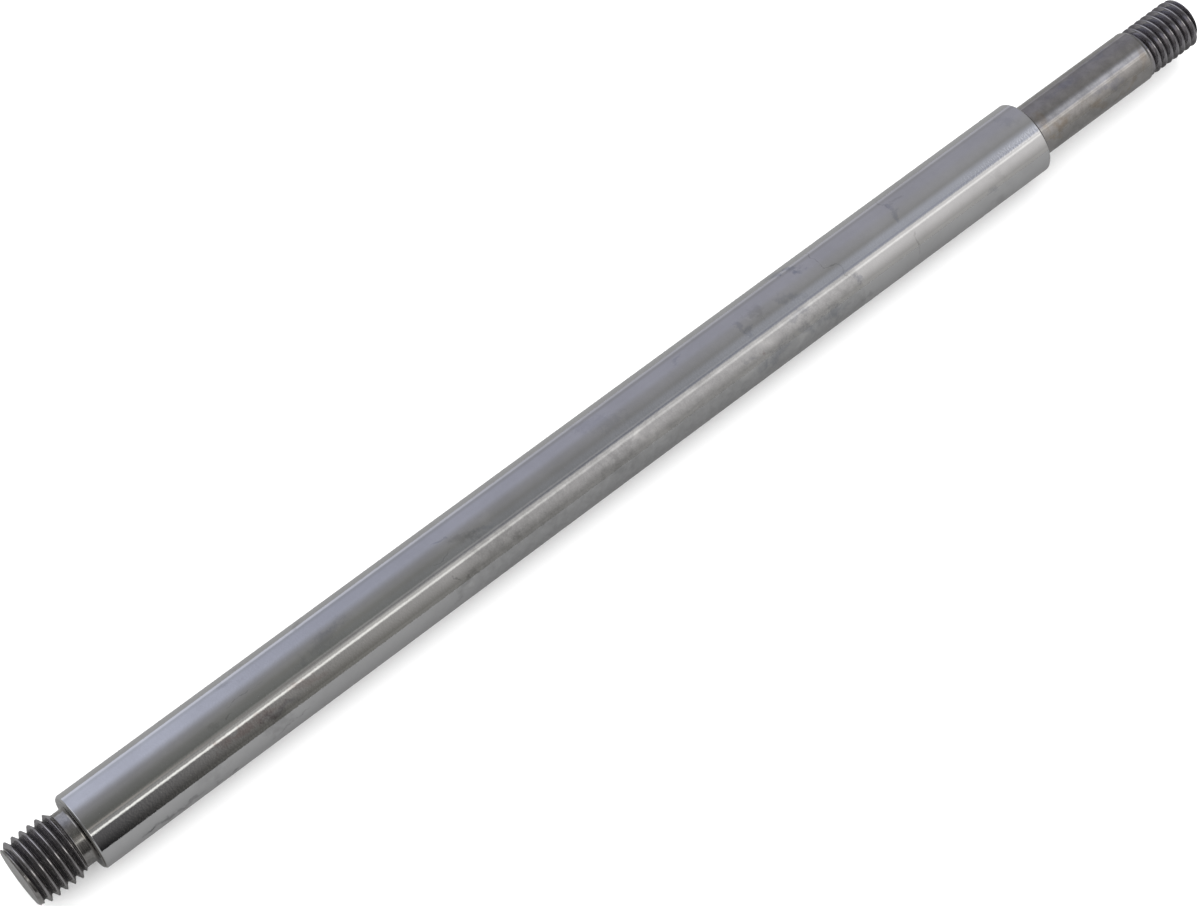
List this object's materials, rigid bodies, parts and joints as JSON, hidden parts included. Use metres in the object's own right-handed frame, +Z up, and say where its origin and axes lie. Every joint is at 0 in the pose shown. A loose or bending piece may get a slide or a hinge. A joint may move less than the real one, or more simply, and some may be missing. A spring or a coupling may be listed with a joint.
{
  "type": "shock shaft",
  "caption": "Straight chromed shock absorber shaft with a threaded eyelet stub at one end and a stepped piston spigot with a threaded tip at the other.",
  "frame": {"origin": "centre of the shoulder that the eyelet tightens against, on the shaft's axis", "axes": "+X along the shaft from the eyelet shoulder to the piston end, +Z up as the shaft lies, +Y to the left seen from the eyelet end"},
  "size_m": [0.2571, 0.014, 0.014],
  "materials": {
    "chromed_steel": "ground and hard chromed on the rod, bare ground steel on the spigot, bare cut steel on the threads"
  },
  "bodies": {
    "root": {"shock_shaft": "chromed_steel"}
  },
  "joints": []
}
